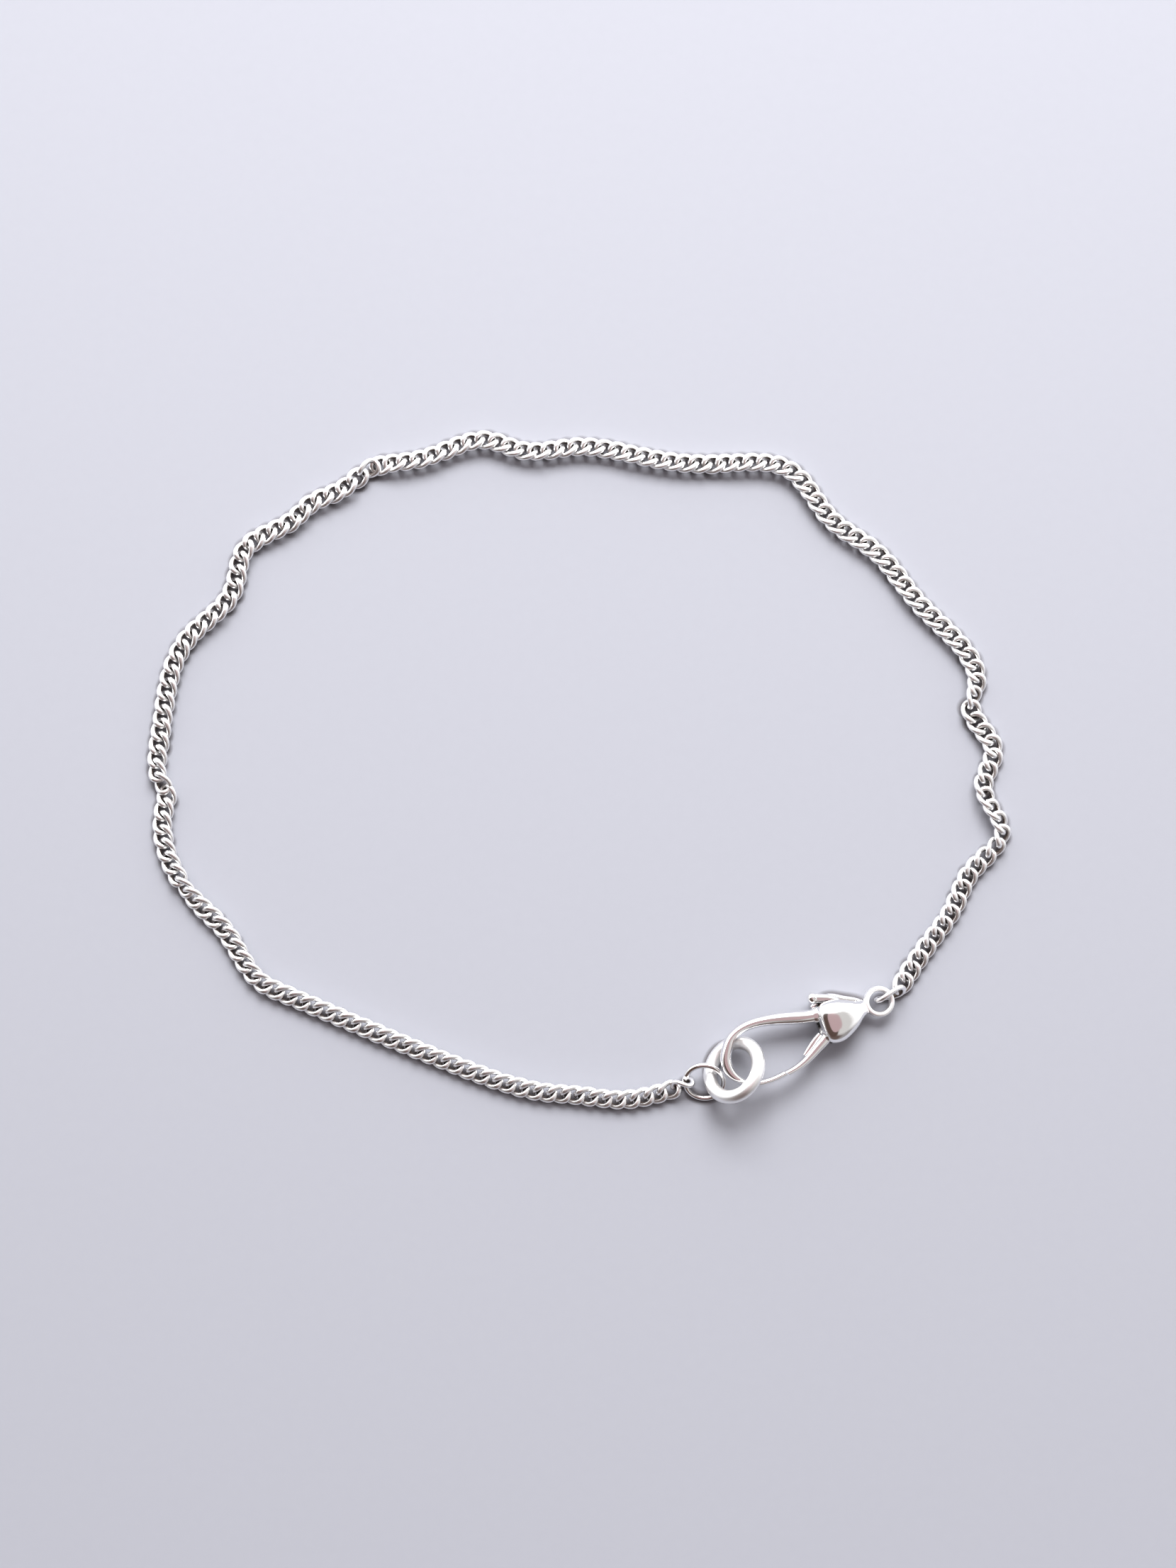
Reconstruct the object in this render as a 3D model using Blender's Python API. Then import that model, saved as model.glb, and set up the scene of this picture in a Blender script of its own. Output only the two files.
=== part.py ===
"""Chain anklet lying closed on a flat surface: curb chain, lobster clasp, catch ring, jump ring.

Blender 4.5, metres, +Z up, origin at the middle of the anklet's footprint on the surface.
Run with: blender --background --python part.py
"""

import math

import bmesh
import bpy
import numpy as np
from mathutils import Matrix, Vector

# Chain. The links' tube runs along this route, from the jump ring round to the clasp's eye.
CHAIN_WIDTH = 0.0021
CHAIN_POINT_STEP = 0.0034
CHAIN_START_GAP = 0.0019
CHAIN_END_GAP = 0.0001
CHAIN_ROUTE = (
    (0.0112, -0.0329), (0.0043, -0.0344), (0.0007, -0.0340), (-0.0029, -0.0337),
    (-0.0116, -0.0312), (-0.0301, -0.0236), (-0.0326, -0.0223), (-0.0363, -0.0171),
    (-0.0389, -0.0145), (-0.0428, -0.0045), (-0.0426, -0.0027), (-0.0434, -0.0011),
    (-0.0436, 0.0006), (-0.0432, 0.0042), (-0.0405, 0.0135), (-0.0360, 0.0184),
    (-0.0348, 0.0227), (-0.0294, 0.0262), (-0.0281, 0.0275), (-0.0248, 0.0291),
    (-0.0218, 0.0313), (-0.0164, 0.0324), (-0.0093, 0.0344), (-0.0056, 0.0333),
    (-0.0002, 0.0337), (0.0072, 0.0326), (0.0146, 0.0319), (0.0226, 0.0311),
    (0.0267, 0.0260), (0.0312, 0.0227), (0.0359, 0.0170), (0.0416, 0.0081),
    (0.0411, 0.0063), (0.0434, 0.0016), (0.0423, -0.0020), (0.0441, -0.0069),
    (0.0408, -0.0111), (0.0392, -0.0143), (0.0361, -0.0188), (0.0336, -0.02255),
)

# Links that are modelled singly: the first one round the jump ring, and the one in the eye.
RING_LINK = {"length": 0.00265, "width": 0.00216, "wire": 0.00055, "turns": (42, 131)}
RING_LINK_PLACE = {"centre": (0.01087, -0.03280, 0.00111), "heading": 9.2, "slope": 4.0}
END_LINK = {"length": 0.0036, "width": 0.00264, "wire": 0.00052, "turns": (98.5, 55.5)}
END_LINK_PLACE = {"centre": (0.03228, -0.02371, 0.00131), "heading": 22.3, "slope": -4.8}

# Rings: mean radius, wire radius, the lean from flat and the compass direction of the low side.
CATCH_RING = {"radius": 0.00292, "wire": 0.00070, "lean": 43.0, "low_side": 149.0}
CATCH_RING_AT = (0.0161, -0.0313)
JUMP_RING = {"radius": 0.0020, "wire": 0.00028, "lean": 32.0, "low_side": -98.5}
JUMP_RING_AT = (0.01314, -0.03258)

# Clasp. In its own frame u runs from the nose to the eye, v across the hook, w up, eye at 0.
CLASP_EYE_AT = (0.03113, -0.02439, 0.00125)
CLASP_HEADING = 17.7
CLASP_NOSE_LIFT = 5.5
EYE_OUTER = 0.0032
EYE_HOLE = 0.0021
EYE_THICKNESS = 0.00095
EYE_EDGE = 0.00012
SHELL_SQUARENESS = 2.7

# Shell sections along u: lower edge, upper edge, thickness.
SHELL_SECTIONS = (
    (-0.00674, -0.0013, 0.0008, 0.0013),
    (-0.00660, -0.0019, 0.0013, 0.0022),
    (-0.00630, -0.0024, 0.0016, 0.0029),
    (-0.00580, -0.00266, 0.00175, 0.0034),
    (-0.00510, -0.00273, 0.00176, 0.0036),
    (-0.00440, -0.00258, 0.00164, 0.00356),
    (-0.00360, -0.0022, 0.00138, 0.0032),
    (-0.00280, -0.0017, 0.00104, 0.0026),
    (-0.00220, -0.00122, 0.00076, 0.0020),
    (-0.00180, -0.00095, 0.00064, 0.0015),
    (-0.00130, -0.0007, 0.0006, 0.0010),
)

# Hook sections along its middle: u, v, width across, thickness.
HOOK_SECTIONS = (
    (-0.0060, 0.00062, 0.00135, 0.0016),
    (-0.0069, 0.00068, 0.00136, 0.0016),
    (-0.0095, 0.00124, 0.00138, 0.0015),
    (-0.0122, 0.00178, 0.00112, 0.0014),
    (-0.0139, 0.00182, 0.00100, 0.0013),
    (-0.01505, 0.00156, 0.00092, 0.00125),
    (-0.01595, 0.00103, 0.00095, 0.00125),
    (-0.0165, 0.00025, 0.00108, 0.00125),
    (-0.01692, -0.00054, 0.00112, 0.00125),
    (-0.01705, -0.00144, 0.00112, 0.00125),
    (-0.01687, -0.0023, 0.0010, 0.0012),
    (-0.0164, -0.00307, 0.00085, 0.0012),
    (-0.0153, -0.00385, 0.00072, 0.00115),
    (-0.0139, -0.00415, 0.00066, 0.0011),
    (-0.0126, -0.00412, 0.00066, 0.0011),
    (-0.0110, -0.00385, 0.00066, 0.0011),
)
HOOK_STEPS = 36

# The hook's tip meets the gate's tip on a slant that lets the gate swing inwards.
TIP_MEETING_POINT = (-0.01153, -0.00398)
TIP_MEETING_ANGLE = 38.0
TIP_GAP = 0.00012
TIP_REACH = 0.0020

# Lever: gate and trigger sections along their middles, as for the hook, from the pin outwards.
PIN_AT = (-0.0043, 0.0001)
PIN_RADIUS = 0.00035
PIN_CLEARANCE = 0.0001
PIN_REACH = 0.00125
LEVER_THICKNESS = 0.0011
HUB_RADIUS = 0.00092
SLOT_WIDTH = 0.0014
GATE_SECTIONS = (
    (-0.0043, 0.0001, 0.0013, 0.0011),
    (-0.0056, -0.0011, 0.00115, 0.0011),
    (-0.0066, -0.00195, 0.0011, 0.0011),
    (-0.0074, -0.00242, 0.00103, 0.0011),
    (-0.00827, -0.00293, 0.00092, 0.00105),
    (-0.0097, -0.00362, 0.00076, 0.0010),
    (-0.0108, -0.00392, 0.00068, 0.0010),
    (-0.0120, -0.00408, 0.00064, 0.0010),
)
GATE_STEPS = 20
TRIGGER_SECTIONS = (
    (-0.0043, 0.0001, 0.0013, 0.0011),
    (-0.00415, 0.0009, 0.0010, 0.0011),
    (-0.0047, 0.0017, 0.00092, 0.0011),
    (-0.0056, 0.0021, 0.0010, 0.0011),
    (-0.0064, 0.00238, 0.00108, 0.0011),
)
TRIGGER_STEPS = 12
KNOB_AT = (-0.00650, 0.00243)
KNOB_SIZE = (0.00122, 0.00122, 0.00130)

# The slot in the shell that the lever swings in, as an outline in u and v.
SLOT_OUTLINE = (
    (-0.0074, 0.00245), (-0.00565, 0.0007), (-0.00565, 0.00038), (-0.0076, -0.00034),
    (-0.0076, -0.0038), (-0.00512, -0.00166), (-0.0044, -0.00105), (-0.0037, -0.0009),
    (-0.0032, -0.0004), (-0.0031, 0.0003), (-0.0024, 0.0008), (-0.0021, 0.0028),
    (-0.0074, 0.0028),
)

# Guard: the far wall's low strip under the trigger, and its height against the clasp's middle.
GUARD_SECTIONS = (
    (-0.0067, 0.00142, 0.0006, 0.00066),
    (-0.0059, 0.0017, 0.0009, 0.00076),
    (-0.0050, 0.00181, 0.0012, 0.00078),
    (-0.0035, 0.00125, 0.0011, 0.00078),
    (-0.0020, 0.00062, 0.0008, 0.00070),
    (-0.0014, 0.0003, 0.0005, 0.00050),
)
GUARD_LEVEL = -0.0011
GUARD_STEPS = 14

WIRE_SIDES = 12
SHELL_SIDES = 28


def clear_scene():
    for obj in list(bpy.data.objects):
        bpy.data.objects.remove(obj, do_unlink=True)


def metal(name, colour, roughness):
    material = bpy.data.materials.new(name)
    material.use_nodes = True
    shader = material.node_tree.nodes["Principled BSDF"]
    shader.inputs["Base Color"].default_value = (*colour, 1.0)
    shader.inputs["Metallic"].default_value = 1.0
    shader.inputs["Roughness"].default_value = roughness
    return material


def smooth_curve(points, at):
    """Natural cubic spline through the points, read at distances measured along their chords."""
    points = np.array(points, float)
    knots = chord_distances(points)
    gaps = np.diff(knots)
    system = np.eye(len(points))
    rates = np.zeros_like(points)
    slopes = np.diff(points, axis=0) / gaps[:, None]
    for i in range(1, len(points) - 1):
        system[i, i - 1 : i + 2] = gaps[i - 1], 2 * (gaps[i - 1] + gaps[i]), gaps[i]
        rates[i] = 6 * (slopes[i] - slopes[i - 1])
    bends = np.linalg.solve(system, rates)
    span = np.clip(np.searchsorted(knots, at) - 1, 0, len(gaps) - 1)
    gap = gaps[span][:, None]
    before = (at - knots[span])[:, None]
    after = gap - before
    cubic = bends[span] * after**3 + bends[span + 1] * before**3
    straight = points[span] * after + points[span + 1] * before
    pull = (bends[span] * after + bends[span + 1] * before) * gap
    return cubic / (6 * gap) + straight / gap - pull / 6


def chord_distances(points):
    steps = np.linalg.norm(np.diff(points[:, :2], axis=0), axis=1)
    return np.concatenate([[0.0], np.cumsum(steps)])


def evenly_along(points, count):
    """The smooth curve through the points, read at evenly spaced distances along it."""
    end = chord_distances(np.array(points, float))[-1]
    fine = smooth_curve(points, np.linspace(0.0, end, 60 * len(points)))
    run = chord_distances(fine)
    places = np.linspace(0.0, run[-1], count)
    columns = [np.interp(places, run, column) for column in fine.T]
    return np.stack(columns, axis=1)


def new_object(name, bm, material):
    mesh = bpy.data.meshes.new(name)
    bmesh.ops.remove_doubles(bm, verts=bm.verts, dist=1e-6)
    bmesh.ops.recalc_face_normals(bm, faces=bm.faces)
    bm.to_mesh(mesh)
    bm.free()
    obj = bpy.data.objects.new(name, mesh)
    bpy.context.scene.collection.objects.link(obj)
    if material:
        mesh.materials.append(material)
        mesh.shade_smooth()
        mesh.set_sharp_from_angle(angle=math.radians(40))
    return obj


def loft(bm, stations, sides, squareness=2.0):
    """A closed skin that carries one rounded section from station to station, each a matrix."""
    verts = bmesh.ops.create_circle(bm, segments=sides, radius=1.0)["verts"]
    for vert in verts:
        vert.co.x = math.copysign(abs(vert.co.x) ** (2 / squareness), vert.co.x)
        vert.co.y = math.copysign(abs(vert.co.y) ** (2 / squareness), vert.co.y)
    edges = list({edge for vert in verts for edge in vert.link_edges})
    bmesh.ops.transform(bm, matrix=stations[0], verts=verts)
    bmesh.ops.contextual_create(bm, geom=edges)
    for before, after in zip(stations, stations[1:]):
        grown = bmesh.ops.extrude_edge_only(bm, edges=edges)["geom"]
        verts = [item for item in grown if isinstance(item, bmesh.types.BMVert)]
        ends = set(verts)
        edges = [
            item for item in grown
            if isinstance(item, bmesh.types.BMEdge) and ends.issuperset(item.verts)
        ]
        bmesh.ops.transform(bm, matrix=after @ before.inverted(), verts=verts)
    bmesh.ops.contextual_create(bm, geom=edges)


def wire_stations(sections, steps, origin=(0.0, 0.0)):
    """Stations square to a flat wire's middle, from its table of u, v, width and thickness."""
    rows = evenly_along(sections, steps)
    rows[:, :2] -= origin
    headings = np.gradient(rows[:, :2], axis=0)
    stations = []
    for (u, v, width, thickness), (along_u, along_v) in zip(rows, headings):
        along = Vector((along_u, along_v, 0.0)).normalized()
        across = Vector((-along.y, along.x, 0.0))
        turn = Matrix((across, Vector((0.0, 0.0, 1.0)), along)).transposed().to_4x4()
        size = Matrix.Diagonal((width / 2, thickness / 2, 1.0, 1.0))
        stations.append(Matrix.Translation((u, v, 0.0)) @ turn @ size)
    return stations


def keep_side_of_tip(bm, origin, sign):
    """Cuts a wire's end off along the slant where the hook and the gate meet."""
    angle = math.radians(TIP_MEETING_ANGLE)
    facing = Vector((math.cos(angle), math.sin(angle), 0.0))
    point = Vector((TIP_MEETING_POINT[0] - origin[0], TIP_MEETING_POINT[1] - origin[1], 0.0))
    near = {vert for vert in bm.verts if (vert.co - point).length < TIP_REACH}
    edges = [edge for edge in bm.edges if near.issuperset(edge.verts)]
    faces = [face for face in bm.faces if near.issuperset(face.verts)]
    cut = bmesh.ops.bisect_plane(
        bm,
        geom=list(near) + edges + faces,
        plane_co=point + facing * sign * TIP_GAP / 2,
        plane_no=-facing * sign,
        clear_outer=True,
    )
    rim = [item for item in cut["geom_cut"] if isinstance(item, bmesh.types.BMEdge)]
    bmesh.ops.contextual_create(bm, geom=rim)


def add_boolean(obj, operation, operand):
    operand.hide_render = True
    operand.display_type = "WIRE"
    operand.parent = obj
    modifier = obj.modifiers.new(f"{operation.lower()} {operand.name}", "BOOLEAN")
    modifier.operation = operation
    modifier.solver = "EXACT"
    modifier.object = operand


def cylinder(name, radius, bottom, top, centre=(0.0, 0.0), sides=32):
    bm = bmesh.new()
    place = Matrix.Translation((centre[0], centre[1], (bottom + top) / 2))
    bmesh.ops.create_cone(
        bm, cap_ends=True, segments=sides, radius1=radius, radius2=radius,
        depth=top - bottom, matrix=place,
    )
    return new_object(name, bm, None)


def shell_bmesh():
    stations = []
    for u, low, high, thickness in SHELL_SECTIONS:
        turn = Matrix(((0, 0, 1), (1, 0, 0), (0, 1, 0))).to_4x4()
        size = Matrix.Diagonal(((high - low) / 2, thickness / 2, 1.0, 1.0))
        stations.append(Matrix.Translation((u, (low + high) / 2, 0.0)) @ turn @ size)
    bm = bmesh.new()
    loft(bm, stations, SHELL_SIDES, SHELL_SQUARENESS)
    return bm


def hook_bmesh():
    bm = bmesh.new()
    loft(bm, wire_stations(HOOK_SECTIONS, HOOK_STEPS), WIRE_SIDES)
    keep_side_of_tip(bm, (0.0, 0.0), -1)
    return bm


def guard_bmesh():
    bm = bmesh.new()
    loft(bm, wire_stations(GUARD_SECTIONS, GUARD_STEPS), WIRE_SIDES, 2.6)
    bmesh.ops.translate(bm, vec=(0.0, 0.0, GUARD_LEVEL), verts=bm.verts)
    return bm


def slot_bmesh():
    bm = bmesh.new()
    verts = [bm.verts.new((u, v, -SLOT_WIDTH / 2)) for u, v in SLOT_OUTLINE]
    face = bm.faces.new(verts)
    grown = bmesh.ops.extrude_face_region(bm, geom=[face])["geom"]
    moved = [item for item in grown if isinstance(item, bmesh.types.BMVert)]
    bmesh.ops.translate(bm, vec=(0.0, 0.0, SLOT_WIDTH), verts=moved)
    return bm


def eye_object():
    """A short tube lying flat, its outer edges eased."""
    half = EYE_THICKNESS / 2
    eye = cylinder("clasp_eye", EYE_OUTER / 2, -half, half, sides=40)
    bm = bmesh.new()
    bm.from_mesh(eye.data)
    rims = [edge for edge in bm.edges if len({round(v.co.z, 7) for v in edge.verts}) == 1]
    bmesh.ops.bevel(
        bm, geom=rims, offset=EYE_EDGE, segments=2, profile=0.5, affect="EDGES", material=-1,
    )
    bm.to_mesh(eye.data)
    bm.free()
    return eye


def rest_cutter(frame):
    """A block up to the surface that the clasp lies on, which leaves a small flat under its body."""
    bm = bmesh.new()
    block = Matrix.Translation((CLASP_EYE_AT[0], CLASP_EYE_AT[1], -0.01))
    bmesh.ops.create_cube(bm, size=1.0, matrix=block @ Matrix.Diagonal((0.06, 0.06, 0.02, 1.0)))
    bmesh.ops.transform(bm, matrix=frame.inverted(), verts=bm.verts)
    return new_object("clasp_rest_cutter", bm, None)


def clasp_frame():
    """Where the clasp lies: turned in plan, with its nose lifted by the catch ring under it."""
    turn = Matrix.Rotation(math.radians(CLASP_HEADING), 4, "Z")
    lift = Matrix.Rotation(math.radians(CLASP_NOSE_LIFT), 4, "Y")
    return Matrix.Translation(CLASP_EYE_AT) @ turn @ lift


def make_clasp_body(frame, material):
    body = new_object("clasp_body", shell_bmesh(), material)
    hook = new_object("clasp_hook", hook_bmesh(), None)
    slot = new_object("clasp_slot", slot_bmesh(), None)
    guard = new_object("clasp_guard", guard_bmesh(), None)
    reach = PIN_RADIUS + PIN_CLEARANCE
    bore = cylinder("clasp_pin_bore", reach, -PIN_REACH - PIN_CLEARANCE,
                    PIN_REACH + PIN_CLEARANCE, PIN_AT)
    hole = cylinder("clasp_eye_hole", EYE_HOLE / 2, -EYE_THICKNESS, EYE_THICKNESS, sides=36)
    add_boolean(body, "UNION", hook)
    add_boolean(body, "DIFFERENCE", slot)
    add_boolean(body, "UNION", guard)
    add_boolean(body, "UNION", eye_object())
    add_boolean(body, "DIFFERENCE", hole)
    add_boolean(body, "DIFFERENCE", bore)
    add_boolean(body, "DIFFERENCE", rest_cutter(frame))
    return body


def make_clasp_lever(material):
    """Modelled round the pin, which is the object's origin."""
    bm = bmesh.new()
    loft(bm, wire_stations(GATE_SECTIONS, GATE_STEPS, PIN_AT), WIRE_SIDES, 2.6)
    keep_side_of_tip(bm, PIN_AT, 1)
    lever = new_object("clasp_lever", bm, material)
    bm = bmesh.new()
    loft(bm, wire_stations(TRIGGER_SECTIONS, TRIGGER_STEPS, PIN_AT), WIRE_SIDES, 2.6)
    arm = new_object("lever_trigger", bm, None)
    bm = bmesh.new()
    place = Matrix.Translation((KNOB_AT[0] - PIN_AT[0], KNOB_AT[1] - PIN_AT[1], 0.0))
    size = Matrix.Diagonal((*(side / 2 for side in KNOB_SIZE), 1.0))
    bmesh.ops.create_uvsphere(bm, u_segments=16, v_segments=10, radius=1.0, matrix=place @ size)
    knob = new_object("lever_knob", bm, None)
    half = LEVER_THICKNESS / 2
    add_boolean(lever, "UNION", cylinder("lever_hub", HUB_RADIUS, -half, half))
    add_boolean(lever, "UNION", arm)
    add_boolean(lever, "UNION", knob)
    hole = cylinder("lever_hole", PIN_RADIUS + PIN_CLEARANCE, -2 * half, 2 * half)
    add_boolean(lever, "DIFFERENCE", hole)
    lever.location = (PIN_AT[0], PIN_AT[1], 0.0)
    return lever


def make_clasp_pin(material):
    pin = cylinder("clasp_pin", PIN_RADIUS, -PIN_REACH, PIN_REACH)
    pin.data.materials.append(material)
    pin.location = (PIN_AT[0], PIN_AT[1], 0.0)
    return pin


def torus_bmesh(radius, wire, around, sides):
    bm = bmesh.new()
    place = Matrix.Translation((radius, 0.0, 0.0)) @ Matrix.Rotation(math.pi / 2, 4, "X")
    circle = bmesh.ops.create_circle(bm, segments=sides, radius=wire, matrix=place)
    edges = list({edge for vert in circle["verts"] for edge in vert.link_edges})
    bmesh.ops.spin(
        bm, geom=edges, cent=(0.0, 0.0, 0.0), axis=(0.0, 0.0, 1.0), angle=2 * math.pi,
        steps=around, use_merge=True,
    )
    return bm


def make_ring(name, ring, at, material):
    """A round-wire ring that leans on what is under it, with its low side on the surface."""
    ring_object = new_object(name, torus_bmesh(ring["radius"], ring["wire"], 48, 14), material)
    lean = math.radians(ring["lean"])
    height = ring["wire"] + ring["radius"] * math.sin(lean)
    turn = Matrix.Rotation(math.radians(ring["low_side"]), 4, "Z")
    tip = Matrix.Rotation(lean, 4, "Y")
    ring_object.matrix_world = Matrix.Translation((*at, height)) @ turn @ tip
    return ring_object


def make_link(name, link, place, material):
    """An oval link, twisted about its length from one end's turn to the other's."""
    radius = (link["length"] - link["wire"]) / 2
    bm = torus_bmesh(radius, link["wire"] / 2, 28, 10)
    narrow = (link["width"] - link["length"]) / 2
    first, last = (math.radians(turn) for turn in link["turns"])
    for vert in bm.verts:
        outward = vert.co.y / math.hypot(vert.co.x, vert.co.y)
        squeezed = Vector((0.0, vert.co.y + narrow * outward, vert.co.z))
        turn = first + (last - first) * (vert.co.x / (2 * radius) + 0.5)
        vert.co = Matrix.Rotation(turn, 3, "X") @ squeezed + Vector((vert.co.x, 0.0, 0.0))
    link_object = new_object(name, bm, material)
    heading = Matrix.Rotation(math.radians(place["heading"]), 4, "Z")
    slope = Matrix.Rotation(-math.radians(place["slope"]), 4, "Y")
    link_object.matrix_world = Matrix.Translation(place["centre"]) @ heading @ slope
    return link_object


def make_chain(material):
    """One tube along the route, lying on the surface."""
    end = chord_distances(np.array(CHAIN_ROUTE))[-1]
    fine = smooth_curve(CHAIN_ROUTE, np.linspace(0.0, end, 60 * len(CHAIN_ROUTE)))
    run = chord_distances(fine)
    start, finish = CHAIN_START_GAP, run[-1] - CHAIN_END_GAP
    count = 1 + round((finish - start) / CHAIN_POINT_STEP)
    places = np.linspace(start, finish, count)
    curve = bpy.data.curves.new("chain", "CURVE")
    curve.dimensions = "3D"
    curve.bevel_depth = CHAIN_WIDTH / 2
    curve.bevel_resolution = 2
    curve.use_fill_caps = True
    spline = curve.splines.new("POLY")
    spline.points.add(count - 1)
    for point, place in zip(spline.points, places):
        x, y = (np.interp(place, run, fine[:, axis]) for axis in (0, 1))
        point.co = (x, y, CHAIN_WIDTH / 2, 1.0)
    curve.materials.append(material)
    chain = bpy.data.objects.new("chain", curve)
    bpy.context.scene.collection.objects.link(chain)
    return chain


def main():
    clear_scene()
    frame = clasp_frame()
    clasp = bpy.data.objects.new("clasp_frame", None)
    bpy.context.scene.collection.objects.link(clasp)
    clasp.matrix_world = frame
    pieces = (
        make_clasp_body(frame, metal("clasp silver", (0.80, 0.79, 0.78), 0.12)),
        make_clasp_lever(metal("lever silver", (0.80, 0.79, 0.78), 0.14)),
        make_clasp_pin(metal("pin silver", (0.70, 0.69, 0.68), 0.30)),
    )
    for piece in pieces:
        piece.parent = clasp
    make_ring("catch_ring", CATCH_RING, CATCH_RING_AT, metal("ring silver", (0.84, 0.84, 0.83), 0.10))
    make_ring("jump_ring", JUMP_RING, JUMP_RING_AT, metal("jump silver", (0.82, 0.81, 0.80), 0.15))
    link_silver = metal("link silver", (0.83, 0.83, 0.82), 0.18)
    make_link("ring_link", RING_LINK, RING_LINK_PLACE, link_silver)
    make_link("end_link", END_LINK, END_LINK_PLACE, link_silver.copy())
    make_chain(metal("chain silver", (0.83, 0.83, 0.82), 0.20))


main()
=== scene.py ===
"""Chain anklet: the visible pieces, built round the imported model.

A fine silver curb chain lies in one closed loop. A lobster clasp at one end hooks a thick
ring, which a thin jump ring ties to the chain's first link. All sizes are in metres.
"""

import math

import bmesh
import bpy
import numpy as np
from bpy.props import FloatProperty, FloatVectorProperty, IntProperty, PointerProperty
from mathutils import Matrix, Vector


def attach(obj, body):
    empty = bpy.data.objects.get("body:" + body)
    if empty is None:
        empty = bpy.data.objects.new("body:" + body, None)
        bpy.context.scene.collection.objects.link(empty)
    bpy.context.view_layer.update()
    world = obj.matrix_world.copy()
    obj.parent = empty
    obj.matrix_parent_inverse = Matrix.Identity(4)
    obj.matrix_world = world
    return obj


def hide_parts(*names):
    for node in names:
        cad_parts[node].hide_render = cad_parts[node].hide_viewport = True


bl_info = {
    "name": "Chain anklet",
    "version": (1, 0, 0),
    "blender": (4, 5, 0),
    "location": "3D View > Sidebar > Anklet",
    "description": "Builds a silver curb-chain anklet with a lobster clasp",
    "category": "Add Mesh",
}

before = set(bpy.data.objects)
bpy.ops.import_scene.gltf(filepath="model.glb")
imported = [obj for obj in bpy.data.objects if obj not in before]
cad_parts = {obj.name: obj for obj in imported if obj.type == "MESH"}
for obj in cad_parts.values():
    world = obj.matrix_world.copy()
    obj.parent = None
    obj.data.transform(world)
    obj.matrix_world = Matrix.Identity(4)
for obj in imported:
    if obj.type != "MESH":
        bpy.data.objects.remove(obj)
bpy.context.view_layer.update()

# The chain's route, from the jump ring round to the clasp's eye, and how far the chain is
# rolled about its own length along it: distance from the start and roll in degrees.
CHAIN_ROUTE = (
    (0.0112, -0.0329), (0.0043, -0.0344), (0.0007, -0.0340), (-0.0029, -0.0337),
    (-0.0116, -0.0312), (-0.0301, -0.0236), (-0.0326, -0.0223), (-0.0363, -0.0171),
    (-0.0389, -0.0145), (-0.0428, -0.0045), (-0.0426, -0.0027), (-0.0434, -0.0011),
    (-0.0436, 0.0006), (-0.0432, 0.0042), (-0.0405, 0.0135), (-0.0360, 0.0184),
    (-0.0348, 0.0227), (-0.0294, 0.0262), (-0.0281, 0.0275), (-0.0248, 0.0291),
    (-0.0218, 0.0313), (-0.0164, 0.0324), (-0.0093, 0.0344), (-0.0056, 0.0333),
    (-0.0002, 0.0337), (0.0072, 0.0326), (0.0146, 0.0319), (0.0226, 0.0311),
    (0.0267, 0.0260), (0.0312, 0.0227), (0.0359, 0.0170), (0.0416, 0.0081),
    (0.0411, 0.0063), (0.0434, 0.0016), (0.0423, -0.0020), (0.0441, -0.0069),
    (0.0408, -0.0111), (0.0392, -0.0143), (0.0361, -0.0188), (0.0336, -0.02255),
)
CHAIN_ROLL = (
    (0.000, -26), (0.0300, -28), (0.0480, -22), (0.0568, -18), (0.0588, -48), (0.0604, -20),
    (0.0690, -12), (0.0708, -50), (0.0730, -10), (0.0950, -10), (0.1110, -16), (0.1132, 45),
    (0.1152, -20), (0.1220, -20), (0.1600, -18), (0.1680, -14), (0.1880, -12), (0.1903, -46),
    (0.1922, 8), (0.1950, -12), (0.2000, -16), (0.2030, -42), (0.2065, -40), (0.2090, -14),
    (0.2250, -12),
)
FIRST_LINK_AT = 0.00182

# How far single links stray at full looseness: degrees of roll, heading and slope, and lift.
LOOSE_ROLL = 9.0
LOOSE_HEADING = 5.0
LOOSE_SLOPE = 2.0
LOOSE_LIFT = 0.00002
HEADING_REACH = 0.0007  # how far ahead and behind the route is read for a link's heading
FACET_SQUASH = 0.15  # what grinding leaves of the height beyond the facet

# One level of subdivision draws a coarse link's section and oval in by these shares.
SECTION_SHRINK = 0.87
OVAL_SHRINK = 0.93

# The chain's first link and the link in the clasp's eye: sizes, twist at each end, and place.
RING_LINK = {"length": 0.00265, "width": 0.00216, "wire": 0.00055, "turns": (42, 131)}
RING_LINK_PLACE = {"centre": (0.01087, -0.03280, 0.00111), "heading": 9.2, "slope": 4.0}
END_LINK = {"length": 0.0036, "width": 0.00264, "wire": 0.00052, "turns": (98.5, 55.5)}
END_LINK_PLACE = {"centre": (0.03228, -0.02371, 0.00131), "heading": 22.3, "slope": -4.8}

# Rings: mean radius, wire radius, lean from flat and the compass direction of the low side.
CATCH_RING = {"radius": 0.00292, "wire": 0.00070, "lean": 43.0, "low_side": 149.0}
CATCH_RING_AT = (0.0161, -0.0313)
JUMP_RING = {"radius": 0.0020, "wire": 0.00028, "lean": 32.0, "low_side": -98.5}
JUMP_RING_AT = (0.01314, -0.03258)

# The clasp's own frame: u runs from nose to eye, v across the hook, w up, the eye at 0.
CLASP_EYE_AT = (0.03113, -0.02439, 0.00125)
CLASP_HEADING = 17.7
CLASP_NOSE_LIFT = 5.5

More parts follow.
